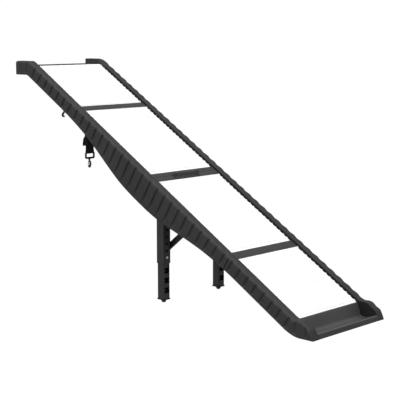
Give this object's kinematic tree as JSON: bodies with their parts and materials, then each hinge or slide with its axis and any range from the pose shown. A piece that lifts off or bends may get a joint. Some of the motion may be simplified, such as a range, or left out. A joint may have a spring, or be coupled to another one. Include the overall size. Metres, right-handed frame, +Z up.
{
  "type": "folding dog ramp",
  "caption": "Two-part pet ramp that folds face to face on a cross pin, with fluted side rails, ridged treads, a scooped toe, folding adjustable legs and a snap tether.",
  "frame": {"origin": "middle of the bounding box at ground level, under the toe and the feet", "axes": "+X down the slope to the toe, +Y to the far side, +Z up"},
  "size_m": [1.523, 0.4, 0.869],
  "materials": {
    "rail_plastic": "fine moulded grain, dark grey",
    "deck_plastic": "moulded, dark grey",
    "tread_mat": "white ridged non-slip mat",
    "rubber": "matte black",
    "black_steel": "satin black powder coat",
    "zinc_steel": "zinc plated",
    "chrome": "nickel plated",
    "webbing": "black woven webbing"
  },
  "bodies": {
    "lower_half": {"rail_lower_near": "rail_plastic", "rail_lower_far": "rail_plastic", "deck_lower": "deck_plastic", "tread_3": "tread_mat", "tread_4": "tread_mat", "nose_toe": "deck_plastic", "fold_knuckle_near": "deck_plastic", "fold_knuckle_far": "deck_plastic", "fold_pin": "zinc_steel", "leg_axle": "zinc_steel", "leg_bracket_near": "black_steel", "leg_bracket_far": "black_steel", "brace_track_near": "black_steel", "brace_track_far": "black_steel", "bracket_bolt_near_1": "zinc_steel", "bracket_bolt_near_2": "zinc_steel", "bracket_bolt_far_1": "zinc_steel", "bracket_bolt_far_2": "zinc_steel", "track_bolt_near_1": "zinc_steel", "track_bolt_near_2": "zinc_steel", "track_bolt_far_1": "zinc_steel", "track_bolt_far_2": "zinc_steel"},
    "upper_half": {"rail_upper_near": "rail_plastic", "rail_upper_far": "rail_plastic", "deck_upper": "deck_plastic", "tread_1": "tread_mat", "tread_2": "tread_mat", "top_rest": "deck_plastic", "top_grip_pad": "rubber", "fold_tongue": "deck_plastic", "tether_eye": "zinc_steel", "fold_catch": "deck_plastic"},
    "tether": {"tether_strap": "webbing"},
    "ring": {"tether_ring": "black_steel"},
    "snap": {"snap_hook": "chrome"},
    "gate": {"snap_gate": "chrome"},
    "leg_frame": {"leg_sleeve_near": "black_steel", "leg_sleeve_far": "black_steel", "leg_cross_tube": "black_steel", "brace_rivet_near": "zinc_steel", "brace_rivet_far": "zinc_steel"},
    "leg_extension_near": {"leg_tube_near": "deck_plastic", "foot_near": "rubber", "button_spring_near": "zinc_steel"},
    "leg_extension_far": {"leg_tube_far": "deck_plastic", "foot_far": "rubber", "button_spring_far": "zinc_steel"},
    "button_near": {"leg_button_near": "zinc_steel"},
    "button_far": {"leg_button_far": "zinc_steel"},
    "brace_frame": {"brace_near": "black_steel", "brace_far": "black_steel", "brace_rod": "zinc_steel"}
  },
  "joints": [
    {"name": "fold_hinge", "type": "hinge", "parent": "lower_half", "child": "upper_half", "pos_m": [-0.00424, 0, 0.46543], "axis": [0, 1, 0], "range_deg": [0, 180]},
    {"name": "leg_fold", "type": "hinge", "parent": "lower_half", "child": "leg_frame", "pos_m": [0.026, 0, 0.394], "axis": [0, -1, 0], "range_deg": [0, 59.1]},
    {"name": "brace_fold", "type": "hinge", "parent": "leg_frame", "child": "brace_frame", "pos_m": [0.026, 0, 0.1995], "axis": [0, -1, 0], "range_deg": [-126.5, 0]},
    {"name": "leg_slide_near", "type": "slide", "parent": "leg_frame", "child": "leg_extension_near", "axis": [0, 0, 1], "range_m": [0, 0.1032], "deforming": ["leg_button_near"]},
    {"name": "leg_slide_far", "type": "slide", "parent": "leg_frame", "child": "leg_extension_far", "axis": [0, 0, 1], "range_m": [0, 0.1032], "deforming": ["leg_button_far"]},
    {"name": "button_press_near", "type": "slide", "parent": "leg_extension_near", "child": "button_near", "axis": [-1, 0, 0], "range_m": [0, 0.0043], "stiffness_N_per_m": 600, "springref_m": -0.003, "deforming": ["button_spring_near"]},
    {"name": "button_press_far", "type": "slide", "parent": "leg_extension_far", "child": "button_far", "axis": [-1, 0, 0], "range_m": [0, 0.0043], "stiffness_N_per_m": 600, "springref_m": -0.003, "deforming": ["button_spring_far"]},
    {"name": "tether_swing", "type": "hinge", "parent": "upper_half", "child": "tether", "pos_m": [-0.3965, -0.134, 0.667], "axis": [0, 1, 0], "range_deg": [-30, 90]},
    {"name": "ring_swing", "type": "hinge", "parent": "tether", "child": "ring", "pos_m": [-0.3965, -0.134, 0.524], "axis": [0, 1, 0], "range_deg": [-60, 60]},
    {"name": "snap_swivel", "type": "hinge", "parent": "ring", "child": "snap", "pos_m": [-0.3965, -0.134, 0.4932], "axis": [0, 0, 1], "continuous": true},
    {"name": "snap_gate_hinge", "type": "hinge", "parent": "snap", "child": "gate", "pos_m": [-0.3965, -0.1406, 0.4832], "axis": [1, 0, 0], "range_deg": [0, 30], "stiffness_Nm_per_rad": 0.004, "springref_deg": -17.19}
  ],
  "couplings": [
    {"joint": "brace_fold", "follows": "leg_fold", "ratio": -2.13}
  ]
}
